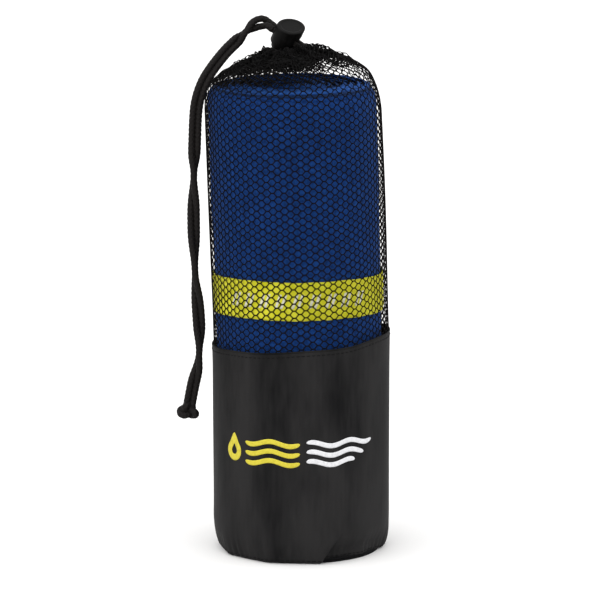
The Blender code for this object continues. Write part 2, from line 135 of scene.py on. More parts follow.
# The twist of the strands round each other, as (distance from the lock, degrees).
PAIR_TWIST = [
    (0.010, 0), (0.019, -90), (0.028, -180), (0.092, -180), (0.108, -270), (0.133, -360),
    (0.160, -450), (0.186, -540), (0.206, -630), (0.226, -720), (0.260, -720),
]
TWIST_START = 0.004                 # the strands leave the lock side by side, as far as here
STRAND_SPACING = 3.7 * MM


# ---- Camera, floor and light -------------------------------------------------------------
def add_object(name, data):
    item = bpy.data.objects.new(name, data)
    bpy.context.scene.collection.objects.link(item)
    return item


def build_camera():
    data = bpy.data.cameras.new("camera")
    data.lens = 176.6
    data.sensor_width = 36.0
    data.clip_end = 60.0
    camera = add_object("camera", data)
    camera.location = (-0.0005, -1.6, 0.3827)
    camera.rotation_euler = (radians(90 - 8.69), 0.0, 0.0)
    bpy.context.scene.camera = camera


def add_area_light(name, place, aim, size, power, colour):
    data = bpy.data.lights.new(name, "AREA")
    data.shape = "DISK"
    data.size = size
    data.energy = power
    data.color = colour
    light = add_object(name, data)
    light.location = place
    light.rotation_euler = (Vector(aim) - Vector(place)).to_track_quat("-Z", "Y").to_euler()


def build_stage():
    bpy.context.scene.view_settings.view_transform = "Standard"
    world = bpy.data.worlds.new("studio")
    world.use_nodes = True
    background = world.node_tree.nodes["Background"]
    background.inputs["Color"].default_value = (1.0, 1.0, 1.0, 1.0)
    background.inputs["Strength"].default_value = 1.20
    bpy.context.scene.world = world
    sun = bpy.data.lights.new("soft_sun", "SUN")
    sun.energy = 2.0
    sun.angle = radians(95)
    lamp = add_object("soft_sun", sun)
    lamp.rotation_euler = Vector((0.22, 0.50, -1.0)).to_track_quat("-Z", "Y").to_euler()
    middle = (0.0, 0.0, 0.15)
    add_area_light("left_strip", (-1.1, -0.9, 0.5), middle, 0.5, 0.8, (1.0, 0.99, 0.97))
    add_area_light("right_rim", (1.2, -0.1, 0.5), middle, 0.4, 1.6, (0.93, 0.96, 1.0))
    bpy.ops.mesh.primitive_plane_add(size=120.0)
    floor = bpy.context.object
    floor.name = "floor"
    floor.data.materials.append(Shading("floor", (0.74, 0.735, 0.73), 0.9, 0.1).material)


# ---- Materials ---------------------------------------------------------------------------
class Shading:
    """One material, and short ways to set it and to add its nodes."""

    def __init__(self, name, colour, roughness, specular=0.5):
        self.material = bpy.data.materials.new(name)
        self.material.use_nodes = True
        self.tree = self.material.node_tree
        self.shader = self.tree.nodes["Principled BSDF"]
        self.set("Base Color", (*colour, 1.0))
        self.set("Roughness", roughness)
        self.set("Specular IOR Level", specular)

    def set(self, name, value):
        self.shader.inputs[name].default_value = value

    def sheen(self, weight, roughness, tint):
        self.set("Sheen Weight", weight)
        self.set("Sheen Roughness", roughness)
        self.set("Sheen Tint", (*tint, 1.0))

    def add(self, kind, inputs=(), **settings):
        node = self.tree.nodes.new(kind)
        for name, value in settings.items():
            setattr(node, name, value)
        for name, value in dict(inputs).items():
            if isinstance(value, bpy.types.NodeSocket):
                self.tree.links.new(value, node.inputs[name])
            else:
                node.inputs[name].default_value = value
        return node

    def uv(self):
        return self.add("ShaderNodeUVMap", uv_map="cloth").outputs["UV"]

    def place(self):
        return self.add("ShaderNodeTexCoord").outputs["Object"]

    def noise(self, vector, scale, detail=3.0):
        node = self.add("ShaderNodeTexNoise", {"Vector": vector, "Scale": scale, "Detail": detail})
        return node.outputs["Fac"]

    def wave(self, vector, period, direction):
        """Bands with a period in metres along X or Y, from 0 to 1."""
        node = self.add("ShaderNodeTexWave", {"Vector": vector, "Scale": TURN / 20 / period},
                        wave_type="BANDS", bands_direction=direction)
        return node.outputs["Fac"]

    def math(self, operation, a, b):
        return self.add("ShaderNodeMath", {0: a, 1: b}, operation=operation).outputs[0]

    def mix(self, factor, dark, light):
        node = self.add("ShaderNodeMix", {"Factor": factor}, data_type="RGBA")
        node.inputs["A"].default_value = (*dark, 1.0)
        node.inputs["B"].default_value = (*light, 1.0)
        return node.outputs["Result"]

    def blend(self, factor, first, second):
        """Like mix, of two sockets."""
        node = self.add("ShaderNodeMix", {"Factor": factor}, data_type="RGBA")
        self.tree.links.new(first, node.inputs["A"])
        self.tree.links.new(second, node.inputs["B"])
        return node.outputs["Result"]

    def ramp(self, value, low, high):
        """The value's range from low to high, spread over 0 to 1."""
        node = self.add("ShaderNodeMapRange", {"Value": value, "From Min": low, "From Max": high})
        return node.outputs["Result"]

    def bump(self, height, distance, strength=1.0, under=None):
        inputs = {"Height": height, "Distance": distance, "Strength": strength}
        if under is not None:
            inputs["Normal"] = under
        return self.add("ShaderNodeBump", inputs).outputs["Normal"]

    def use(self, colour=None, roughness=None, normal=None):
        for name, socket in (("Base Color", colour), ("Roughness", roughness), ("Normal", normal)):
            if socket is not None:
                self.tree.links.new(socket, self.shader.inputs[name])


def nylon_material():
    """Tight coated weave: fine ribs, slubs and faint cloudiness; the cloudiness also paints soft tall
    streaks of reflection into the colour, and painted bounce light makes it lighter lower down.
    """
    nodes = Shading("coated_nylon", (0.010, 0.010, 0.0105), 0.5, 0.045)
    uv = nodes.uv()
    weave = nodes.math("ADD", nodes.wave(uv, 0.55 * MM, "X"), nodes.wave(uv, 0.45 * MM, "Y"))
    stretch = nodes.add("ShaderNodeMapping", {"Vector": uv, "Scale": (420.0, 60.0, 1.0)})
    slub = nodes.noise(stretch.outputs["Vector"], 1.0, 2.0)
    tall = nodes.add("ShaderNodeMapping", {"Vector": nodes.place(), "Scale": (46.0, 46.0, 15.0)})
    cloud_and_painted_reflection = nodes.noise(tall.outputs["Vector"], 1.0, 3.0)
    normal = nodes.bump(weave, 0.05 * MM, 0.5)
    normal = nodes.bump(slub, 0.05 * MM, 0.4, normal)
    normal = nodes.bump(cloud_and_painted_reflection, 1.6 * MM, 0.5, normal)
    # Painted reflection: the tall cloudiness lightens and darkens the colour in soft vertical streaks.
    tone = nodes.math("ADD", cloud_and_painted_reflection, nodes.math("MULTIPLY", weave, 0.09))
    tone = nodes.math("ADD", tone, nodes.math("MULTIPLY", slub, 0.20))
    # Painted bounce light: the colour grows lighter from 75 mm down to 15 mm above the floor.
    high = nodes.add("ShaderNodeSeparateXYZ", {"Vector": nodes.place()}).outputs["Z"]
    low = nodes.ramp(high, 75 * MM, 15 * MM)
    tone = nodes.math("ADD", tone, nodes.math("MULTIPLY", low, 0.13))
    colour = nodes.mix(nodes.ramp(tone, 0.52, 0.88), (0.0029, 0.0030, 0.0033), (0.0182, 0.0176, 0.0178))
    nodes.use(colour, nodes.ramp(cloud_and_painted_reflection, -0.7, 1.3), normal)
    return nodes.material


def knit_material(name, dark, light, roughness, pitch):
    """Soft black yarn, for the net, the casing, the tapes and the stitches."""
    nodes = Shading(name, dark, roughness, 0.06)
    place = nodes.place()
    rows = nodes.wave(place, pitch, "Z")
    columns = nodes.wave(place, pitch * 1.3, "X")
    fibre = nodes.noise(place, 2600.0, 2.0)
    height = nodes.math("ADD", nodes.math("MULTIPLY", rows, columns), fibre)
    nodes.use(nodes.mix(nodes.ramp(fibre, 0.35, 0.7), dark, light),
              normal=nodes.bump(height, 0.08 * MM, 0.6))
    nodes.sheen(0.01, 0.5, (1.0, 1.0, 1.0))
    return nodes.material


def towel_material():
    """Brushed microfibre: loops, nap and uneven blue, with painted light on the roll's top face over a
    band of painted shade in the crease below it.
    """
    nodes = Shading("towel_cloth", (0.010, 0.026, 0.100), 0.95, 0.08)
    place = nodes.place()
    loops = nodes.add("ShaderNodeTexVoronoi", {"Vector": place, "Scale": 1150.0}).outputs["Distance"]
    nap = nodes.noise(place, 420.0, 4.0)
    patch = nodes.noise(place, 60.0, 3.0)
    tone = nodes.math("ADD", nodes.ramp(nap, 0.3, 0.75), nodes.math("MULTIPLY", loops, -0.35))
    tone = nodes.math("ADD", tone, nodes.math("MULTIPLY", patch, 0.35))
    tone = nodes.ramp(tone, -0.1, 1.0)
    body = nodes.mix(tone, (0.0028, 0.0155, 0.072), (0.0074, 0.044, 0.193))
    # fold: painted light, a paler blue that brightens the roll's top face where the net and its gathers
    # shade it.
    fold = nodes.mix(tone, (0.0085, 0.0380, 0.150), (0.0210, 0.100, 0.390))
    dot = nodes.add("ShaderNodeVectorMath", {0: place, 1: ROLL_TOP_WAY}, operation="DOT_PRODUCT")
    up = dot.outputs["Value"]
    colour = nodes.blend(nodes.ramp(up, ROLL_TOP - 0.8 * MM, ROLL_TOP), body, fold)
    # Painted shade: a dark band in the crease just below the top's edge, from 2.1 mm to 0.5 mm under it.
    crease = nodes.math("MULTIPLY", nodes.ramp(up, ROLL_TOP - 2.1 * MM, ROLL_TOP - 1.5 * MM),
                        nodes.ramp(up, ROLL_TOP - 0.5 * MM, ROLL_TOP - 1.0 * MM))
    painted_crease_shade = nodes.mix(tone, (0.0010, 0.0050, 0.022), (0.0024, 0.0140, 0.060))
    colour = nodes.blend(crease, colour, painted_crease_shade)
    normal = nodes.bump(loops, 0.45 * MM, 0.7)
    normal = nodes.bump(nap, 0.7 * MM, 0.6, normal)
    nodes.use(colour, normal=normal)
    nodes.sheen(0.10, 0.5, (0.25, 0.45, 1.0))
    return nodes.material


def band_material():
    """Woven elastic: ribs round the band, crossing threads and uneven wear."""
    nodes = Shading("band_elastic", (0.56, 0.53, 0.02), 0.8, 0.15)
    uv = nodes.uv()
    ribs = nodes.wave(uv, 0.9 * MM, "Y")
    threads = nodes.wave(uv, 0.5 * MM, "X")
    soil = nodes.noise(nodes.place(), 130.0, 4.0)
    weave = nodes.math("MULTIPLY", ribs, threads)
    colour = nodes.mix(nodes.ramp(soil, 0.3, 0.75), (0.44, 0.425, 0.009), (0.585, 0.565, 0.034))
    nodes.use(colour, normal=nodes.bump(weave, 0.14 * MM, 0.8))
    nodes.sheen(0.05, 0.4, (1.0, 1.0, 0.7))
    return nodes.material


def cord_material():
    nodes = Shading("braided_cord", (0.010, 0.0095, 0.0095), 0.62, 0.12)
    fibre = nodes.noise(nodes.place(), 3200.0, 3.0)
    colour = nodes.mix(nodes.ramp(fibre, 0.35, 0.7), (0.0016, 0.0012, 0.0011), (0.0085, 0.0068, 0.0062))
    nodes.use(colour, normal=nodes.bump(fibre, 0.12 * MM, 0.7))
    nodes.sheen(0.02, 0.4, (1.0, 1.0, 1.0))
    return nodes.material


def plastic_material():
    """Moulded plastic with a fine grain and uneven wear."""
    nodes = Shading("lock_plastic", (0.020, 0.020, 0.021), 0.42, 0.055)
    grain = nodes.noise(nodes.place(), 3800.0, 2.0)
    wear = nodes.noise(nodes.place(), 420.0, 4.0)
    colour = nodes.mix(nodes.ramp(wear, 0.4, 0.75), (0.0024, 0.0023, 0.0023), (0.0056, 0.0053, 0.0053))
    nodes.use(colour, nodes.ramp(wear, -0.7, 1.9), nodes.bump(grain, 0.05 * MM, 0.5))
    return nodes.material


def steel_material():
    nodes = Shading("spring_steel", (0.55, 0.55, 0.56), 0.3)
    nodes.set("Metallic", 1.0)
    drawn = nodes.noise(nodes.place(), 5000.0, 2.0)
    nodes.use(roughness=nodes.ramp(drawn, -0.4, 1.9), normal=nodes.bump(drawn, 0.02 * MM, 0.4))
    return nodes.material


def print_material(name, low, high):
    """Screen-printed ink: slightly uneven, with the weave showing through."""
    nodes = Shading(name, high, 0.6)
    weave = nodes.wave(nodes.place(), 0.42 * MM, "X")
    patch = nodes.noise(nodes.place(), 700.0, 3.0)
    nodes.use(nodes.mix(nodes.ramp(patch, 0.3, 0.6), low, high),
              normal=nodes.bump(weave, 0.04 * MM, 0.5))
    return nodes.material


# ---- Mesh helpers ------------------------------------------------------------------------
def add_piece(name, data, material, body):
    piece = add_object(name, data)
    piece.data.materials.append(material)
    piece.data.shade_smooth()
    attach(piece, body)
    return piece


def new_mesh(name, points, faces):
    data = bpy.data.meshes.new(name)
    data.from_pydata(np.reshape(points, (-1, 3)).tolist(), [], faces)
    return data


def grid_faces(rows, columns, close_rows, close_columns, start=0):
    """The quads of a grid of points, and the row and column of each one's corners."""
    row = np.arange(rows if close_rows else rows - 1)
    column = np.arange(columns if close_columns else columns - 1)
    r, c = (x.ravel() for x in np.meshgrid(row, column, indexing="ij"))
    corners = [(r, c), (r, c + 1), (r + 1, c + 1), (r + 1, c)]
    faces = np.stack([start + (a % rows) * columns + b % columns for a, b in corners], 1)
    return faces, corners


def grid_mesh(name, points, around=False, uv=None):
    """Quads through points[row, column]; rows go up and columns go round."""
    rows, columns = points.shape[:2]
    faces, corners = grid_faces(rows, columns, False, around)
    data = new_mesh(name, points, faces.tolist())
    if uv is not None:
        layer = data.uv_layers.new(name="cloth")
        values = np.stack([np.stack([uv[0][b], uv[1][a]], 1) for a, b in corners], 1)
        layer.data.foreach_set("uv", values.ravel())
    return data


def patch_mesh(name, patches):
    """Several separate grids in one mesh."""
    points = []
    faces = []
    for patch in patches:
        rows, columns = patch.shape[:2]
        faces += grid_faces(rows, columns, False, False, len(points))[0].tolist()
        points += patch.reshape(-1, 3).tolist()
    return new_mesh(name, points, faces)


def unit(vectors):
    return vectors / np.linalg.norm(vectors, axis=-1, keepdims=True)


def tube_mesh(name, paths, outward, wide, deep, sides):
    """Closed tubes along paths[tube, point]; wide and deep are half sizes or arrays of them."""
    count, length = paths.shape[:2]
    along = unit(np.gradient(paths, axis=1))
    across = unit(np.cross(outward, along))
    over = np.cross(along, across)
    turn = TURN * np.arange(sides) / sides + pi / 2
    rings = (paths[:, :, None] + across[:, :, None] * (wide * np.cos(turn))[..., None]
             + over[:, :, None] * (deep * np.sin(turn))[..., None])
    faces = []
    for tube in range(count):
        start = tube * length * sides
        faces += grid_faces(length, sides, False, True, start)[0][:, ::-1].tolist()
        faces.append([start + side for side in range(sides)])
        last = start + (length - 1) * sides
        faces.append([last + side for side in reversed(range(sides))])
    return new_mesh(name, rings, faces)


def solidify(piece, thickness):
    """Gives a sheet its thickness, behind its faces."""
    modifier = piece.modifiers.new("thickness", "SOLIDIFY")
    modifier.thickness = thickness
    modifier.offset = -1.0


def smooth_step(value):
    part = np.clip(value, 0.0, 1.0)
    return part * part * (3 - 2 * part)


def angles_round(count, shift=0):
    """Even steps once round, anticlockwise from the back."""
    return TURN * (np.arange(count) + shift) / count + pi / 2


def distance_along(points):
    steps = np.linalg.norm(np.diff(points, axis=0), axis=1)
    return np.concatenate([[0.0], np.cumsum(steps)])


def smooth_curve(points, spacing):
    """Evenly spaced points on a Catmull-Rom curve through the given ones."""
    given = np.array(points, float)
    padded = np.vstack([2 * given[0] - given[1], given, 2 * given[-1] - given[-2]])
    fine = [given[:1]]
    t = (np.arange(1, 25) / 24)[:, None]
    for a, b, c, d in zip(padded, padded[1:], padded[2:], padded[3:]):
        fine.append(0.5 * (2 * b + (c - a) * t + (2 * a - 5 * b + 4 * c - d) * t ** 2
                           + (3 * b - a - 3 * c + d) * t ** 3))
    return resample(np.vstack(fine), spacing=spacing)


def resample(points, spacing=None, count=None, quicken=1.0):
    """The same line with even steps, of a spacing or a count; quicken makes them shrink."""
    walked = distance_along(points)
    if count is None:
        count = round(walked[-1] / spacing) + 1
    even = walked[-1] * (1 - (1 - np.linspace(0.0, 1.0, count)) ** quicken)
    return np.stack([np.interp(even, walked, points[:, axis]) for axis in range(points.shape[1])], 1)


# ---- The nylon sleeve --------------------------------------------------------------------
def sleeve_points(theta, height, out=0.0):
    """Points on the nylon's outside at angles and heights, with its folds and puckers."""
    left = (1 - np.cos(theta)) / 2
    low = np.clip(height / (FOOT_HEIGHT * (1 + 0.5 * left ** 2)), 0.0, 1.0)
    rounding = np.sqrt(np.clip(1.0 - (1.0 - low) ** 2, 0.0, 1.0))
    radius = SLEEVE_RADIUS - FOOT_WIDTH * (1.0 - rounding)
    up = smooth_step(height / (30 * MM)) * smooth_step((NYLON_TOP - height) / (16 * MM))
    folds = (0.40 * np.sin(3 * theta + 0.4) + 0.28 * np.sin(7 * theta + 2.0 + 12 * height)
             + 0.14 * np.sin(13 * theta - 25 * height))
    radius = radius + MM * up * (folds - 0.3)
    pucker = np.cos(71 * theta) + 0.7 * np.cos(43 * theta + 1.0)
    radius = radius + 0.20 * MM * pucker * np.exp(-((height - 3 * MM) / (6 * MM)) ** 2)
    facet = np.mod(theta / TURN * 10 + 0.15, 1.0) - 0.5
    flat = SLEEVE_RADIUS * (1 - cos(pi / 10) / np.cos(facet * TURN / 10))
    radius = radius - 0.75 * flat * np.exp(-((height - 2 * MM) / (10 * MM)) ** 2)
    turn = np.degrees(np.angle(np.exp(1j * theta)))
    past = turn + 77 - 14 * height / (21 * MM)
    tuck = smooth_step(past / 4) * (1 - smooth_step((turn + 36) / 34))
    radius = radius - 3.4 * MM * tuck * np.exp(-((height - 7 * MM) / (6.5 * MM)) ** 2)
    ridge = np.exp(-((past + 2.0) / 3.0) ** 2) * np.exp(-((height - 9 * MM) / (8 * MM)) ** 2)
    radius = radius + 0.8 * MM * ridge + out
    lift = 1.9 * MM * tuck * np.exp(-(height / (5 * MM)) ** 2)
    return np.stack([radius * np.cos(theta), radius * np.sin(theta), height + lift], -1)


def top_height(theta):
    """Where the nylon's top edge is; it rises to the right."""
    across = SLEEVE_RADIUS * np.cos(theta)
    raised = 2.0 * MM * smooth_step((across - 25 * MM) / (24 * MM))
    return NYLON_TOP + NYLON_SLOPE * across + raised + 0.2 * MM * np.sin(7 * theta)


def build_nylon(material, thread):
    columns = 432
    theta = angles_round(columns)
    part = np.linspace(0.0, 1.0, 90) ** 1.4
    foot = 0.35 * MM
    height = foot + (top_height(theta)[None] - foot) * part[:, None]
    points = sleeve_points(np.broadcast_to(theta, height.shape), height)
    uv = (SLEEVE_RADIUS * TURN * np.arange(columns + 1) / columns, NYLON_TOP * part)
    data = grid_mesh("nylon_sleeve_cloth", points, around=True, uv=uv)
    piece = add_piece("nylon_sleeve_cloth", data, material, "bag")
    solidify(piece, 0.5 * MM)
    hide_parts("nylon_sleeve")
    build_top_edge(material)
    add_stitches("top_stitching", lambda t: top_height(t) - 2.6 * MM, 112, thread)
    add_stitches("foot_stitching", lambda t: np.full_like(t, 1.9 * MM), 100, thread)


def build_top_edge(material):
    """The nylon's turned-over hem, a thin roll round its top."""
    theta = angles_round(360)
    section = []
    for turn in TURN * np.arange(10) / 10:
        height = top_height(theta) + (0.6 * sin(turn) - 0.4) * MM
        section.append(sleeve_points(theta, height, (0.32 * cos(turn) - 0.16) * MM))
    loops = np.stack(section)
    faces = grid_faces(*loops.shape[:2], True, True)[0][:, ::-1].tolist()
    data = new_mesh("nylon_top_edge", loops, faces)
    add_piece("nylon_top_edge", data, material, "bag")


def add_stitches(name, height_at, count, thread):
    """A row of short stitches round the nylon."""
    points = 7
    sink = -0.28 * MM * np.linspace(-1, 1, points) ** 4
    paths = []
    for stitch in range(count):
        theta = TURN * (stitch + np.linspace(0.12, 0.80, points)) / count
        path = sleeve_points(theta, height_at(theta), 0.12 * MM)
        ray = np.stack([np.cos(theta), np.sin(theta), 0 * theta], -1)
        paths.append(path + ray * sink[:, None])
    paths = np.stack(paths)
    outward = unit(paths * np.array([1.0, 1.0, 0.0]))
    data = tube_mesh(name, paths, outward, 0.20 * MM, 0.16 * MM, 6)
    add_piece(name, data, thread, "bag")


# ---- The net -----------------------------------------------------------------------------
def net_middle(height):
    """How far the middle of the net's side lies to the right; it leans to the left going up."""
    return (0.3 - 0.0366 * (height - NYLON_TOP) / MM) * MM


def net_line(angle, mouth_middle):
    """One line up the net's cloth, from under the hem to the mouth, before it is gathered."""
    right = (1 + cos(angle)) / 2
    rise = MM * (right * np.array(DOME_RIGHT) + (1 - right) * np.array(DOME_LEFT))
    ray = np.array([cos(angle), sin(angle)])
    foot = float(top_height(angle)) - NET_TUCK
    heights = np.linspace(foot, SHOULDER, STEPS * NET_TUBE_ROWS + 1)
    radius = np.interp(heights, [NYLON_TOP, SHOULDER], NET_RADII)
    loose = smooth_step((heights - NYLON_TOP) / (20 * MM))
    radius = radius + 0.22 * MM * loose * (np.sin(4 * angle + 40 * heights)
                                           + np.sin(9 * angle - 25 * heights))
    tube = np.stack([net_middle(heights) + radius * ray[0], radius * ray[1], heights], 1)
    mouth = mouth_middle + MOUTH_RADIUS * ray
    dome = np.zeros((len(DOME_WAY), 3))
    dome[:, :2] = tube[-1, :2] + (mouth - tube[-1, :2]) * np.array(DOME_WAY)[:, None]
    dome[:, 2] = SHOULDER + rise
    dome = resample(smooth_curve(dome, 0.8 * MM), count=STEPS * NET_DOME_ROWS + 1, quicken=1.25)
    return np.vstack([tube[:-1], dome])


def net_surface(shift, phase, deep):
    """The net's cloth as points[row, column], gathered at the mouth, with surface_frame's ways.

    Four columns make a hole; deep is how far the cloth lies inside the outer net.
    """
    theta = angles_round(4 * NET_CELLS, shift)
    mouth_middle = np.array([CASING_MIDDLE.x, CASING_MIDDLE.y])
    surface = np.stack([net_line(angle, mouth_middle) for angle in theta], 1)
    normal, around = surface_frame(surface)
    reach = np.linalg.norm(surface[:, :, :2] - mouth_middle, axis=2)
    near = smooth_step(1 - (reach - MOUTH_RADIUS) / (36 * MM)) * (surface[:, :, 2] > SHOULDER)
    walk = reach / MM
    pleats = (0.55 * np.cos(14 * theta + 0.5 + phase) + 0.35 * np.cos(9 * theta + 1.3 + 2 * phase)
              + 0.30 * np.cos(23 * theta - 0.8))
    crumple = (0.45 * np.sin(13 * theta + 0.42 * walk + phase)
               + 0.40 * np.sin(21 * theta - 0.55 * walk + 1) + 0.35 * np.sin(6 * theta + 0.75 * walk + 2))
    height = PLEAT_HEIGHT * near ** 1.3 * (pleats - 0.25) + 1.3 * MM * near ** 0.7 * crumple
    height = height - deep * np.maximum(near, 0.4)
    warp = near * (0.085 * np.sin(11 * theta + 0.7 + phase) + 0.055 * np.sin(17 * theta + 2.1)
                   + 0.03 * np.sin(5 * theta + 0.6 * walk))
    surface = surface + normal * height[:, :, None] + around * (reach * warp)[:, :, None]
    return (surface, *surface_frame(surface))


def surface_frame(surface):
    """At each point of a surface, its normal and the way round."""
    around = np.roll(surface, -1, 1) - np.roll(surface, 1, 1)
    return unit(np.cross(around, np.gradient(surface, axis=0))), unit(around)


def net_mesh(name, surface, normal, around, first, cells):
    """Six-sided holes: zigzag strands up the net, and a level bar wherever two of them meet."""
    columns = surface.shape[1]
    knots = np.arange(first, (len(surface) - 1) // STEPS + 1)
    row = np.clip(np.stack([STEPS * knots - 1, STEPS * knots + 1], 1).ravel(), 0, len(surface) - 1)
    odd = np.repeat(knots % 2, 2)
    size = np.where(row > STEPS * NET_TUBE_ROWS, 0.9, 1.0)
    paths = []
    outward = []
    for cell in cells:
        for side in (1, -1):
            column = (4 * cell + 2 * side * odd) % columns
            apart = KNOT_SPREAD * side * (1 - 2 * odd) * bar_part(surface, row)
            paths.append(surface[row, column] + around[row, column] * apart[:, None])
            outward.append(normal[row, column])
    strands = tube_mesh(name, np.stack(paths), np.stack(outward), STRAND_WIDTH * size[None, :, None],
                        STRAND_DEPTH, STRAND_SIDES)
    bars = []
    outward = []
    for knot in knots[1:-1]:
        column = (4 * cells + 2 * (knot % 2)) % columns
        spot = STEPS * knot
        reach = KNOT_SPREAD * bar_part(surface, np.array([spot])) * around[spot, column]
        bars.append(np.stack([surface[spot, column] - reach, surface[spot, column] + reach], 1))
        outward.append(np.repeat(normal[spot, column][:, None], 2, 1))
    level = tube_mesh(name + "_bars", np.concatenate(bars), np.concatenate(outward), STRAND_WIDTH * 1.1,
                      STRAND_DEPTH, STRAND_SIDES)
    return strands, level


def bar_part(surface, row):
    """How much of its full length a bar keeps where the net is drawn together."""
    ring = np.linalg.norm(surface[row] - surface[row].mean(1, keepdims=True), axis=2).mean(1)
    return np.clip(ring / NET_RADII[1], 0.2, 1.0)


def build_net(material, tape):
    """The net, and the layers of it that the cord has gathered under the mouth.

    Each layer of GATHERS has its first row up the dome, its shift in quarter holes, its phase,
    how deep it lies in mm, and how far to the right it reaches: 1 is all the way round.
    """
    every = np.arange(NET_CELLS)
    outer = net_surface(0, 0.0, 0.0)
    for part, mesh in zip(("strands", "bars"), net_mesh("net", *outer, 0, every)):
        piece = add_piece("net_" + part, mesh, material, "bag")
        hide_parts("mesh_sleeve")
    for layer, (row, shift, phase, deep, reach) in enumerate(GATHERS):
        name = "gathers_" + str(layer + 1)
        inner = net_surface(shift, phase, deep * MM)
        cells = every[np.cos(TURN * every / NET_CELLS + pi / 2) <= reach]
        for part, mesh in zip(("_strands", "_bars"),
                              net_mesh(name, *inner, NET_TUBE_ROWS + row, cells)):
            add_piece(name + part, mesh, material, "bag")
    surface, normal, around = (x[:STEPS * NET_TUBE_ROWS] for x in outer)
    for side, column in (("left", NET_CELLS), ("right", 3 * NET_CELLS)):
        build_net_seam(side, surface[:, column], normal[:, column], around[:, column], tape)


def build_net_seam(side, middle, normal, around, material):
    """The tape that closes the net up one side, on the net's outside."""
    width = np.linspace(1.3, 1.0, len(middle))[:, None] * MM
    across = np.linspace(-1, 1, 7)
    sag = 0.1 * np.cos(across * pi / 2)[None, :, None] * MM
    raised = middle + normal * 0.35 * MM
    points = raised[:, None] + around[:, None] * (width * across)[..., None] - normal[:, None] * sag
    along = np.linspace(0, 0.19, len(middle))
    data = grid_mesh("net_seam_" + side, points[::3], uv=(across * 2 * MM, along[::3]))
    piece = add_piece("net_seam_" + side, data, material, "bag")
    solidify(piece, 0.35 * MM)
    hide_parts("mesh_seam_tape_" + side)


def build_casing(material):
    """The mouth's channel, bunched into a frill by the cord."""
    columns = 340
    angles = TURN * np.arange(columns) / columns
    line = smooth_curve([(17.0, 0, -7.5), (14.2, 0, -2.6), (11.6, 0, 1.6), (9.7, 0, 2.4), (8.4, 0, 0.4),
                         (8.8, 0, -4.0)], 0.6) * MM
    fold = (0.5 * np.cos(17 * angles) + 0.35 * np.cos(26 * angles + 1.0)
            + 0.30 * np.cos(11 * angles + 2.2))
    out = unit(np.stack([np.gradient(line[:, 2]), -np.gradient(line[:, 0])], 1))
    part = np.linspace(0, 1, len(line))[:, None]
    ruffle = MM * (1.25 * fold[None] * (1.1 - 0.5 * part)
                   + 0.4 * np.sin(9 * angles[None] + 14 * part)
                   + 0.3 * np.sin(31 * angles[None] - 9 * part))
    reach = line[:, :1] + out[:, :1] * ruffle
    height = line[:, 2:] + out[:, 1:] * ruffle + 1.3 * MM * np.cos(angles)[None]
    warp = angles + 0.05 * np.sin(17 * angles + 1.2) + 0.03 * np.sin(26 * angles)
    points = np.stack([CASING_MIDDLE.x + reach * np.cos(warp), CASING_MIDDLE.y + reach * np.sin(warp),
                       CASING_MIDDLE.z + MOUTH_LIFT + height], -1)
    data = grid_mesh("casing_gathers", points, around=True)
    piece = add_piece("casing_gathers", data, material, "bag")
    solidify(piece, 0.45 * MM)
    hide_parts("mouth_casing")


# ---- The towel and its band --------------------------------------------------------------
def roll_middle(height):
    """How far the roll's middle lies to the right; it leans to the left going up."""
    return 0.0013 - 0.01035 * height - 0.0591 * height ** 2


def towel_profile(pitch, height):
    """The folded cloth's middle line as (distance out, part of the height, height added).

    It has three layers and two folds.

    The outer two layers meet in a plump fold at the top; the inner layer's edge is just below it.
    """
    place = np.array([0.18, 0.50, 0.82]) * pitch
    crease = np.array([4.2, 3.3, 2.8, 2.4, 2.0, 1.6, 1.1, 0.5, 0.0]) * MM
    levels = np.concatenate([np.linspace(0.0, 0.97, 21), 1 - crease / height])
    bend = np.linspace(0.0, pi, 8)[1:-1]
    half = (place[1] - place[0]) / 2
    edge = 1 - 0.7 * MM / height
    line = [(place[0], level * edge, 0.0) for level in levels[::-1]]
    line += [(place[0] + half * (1 - cos(t)), 0.0, -half * sin(t)) for t in bend]
    line += [(place[1], level, 0.0) for level in levels]
    line += [(place[1] + half * (1 - cos(t)), 1.0, half * sin(t)) for t in bend]
    line += [(place[2], level, 0.0) for level in levels[::-1]]
    return np.array(line)


def towel_outline(pitch, low, high):
    """The outline of the folded cloth's section, out along one face of it and back along the other."""
    line = towel_profile(pitch, high - low)
    flat = np.stack([line[:, 0], low + (high - low) * line[:, 1] + line[:, 2]], 1)
    along = unit(np.gradient(flat, axis=0))
    side = np.stack([along[:, 1], -along[:, 0]], 1) * LAYER / 2
    return np.vstack([flat + side, (flat - side)[::-1]])


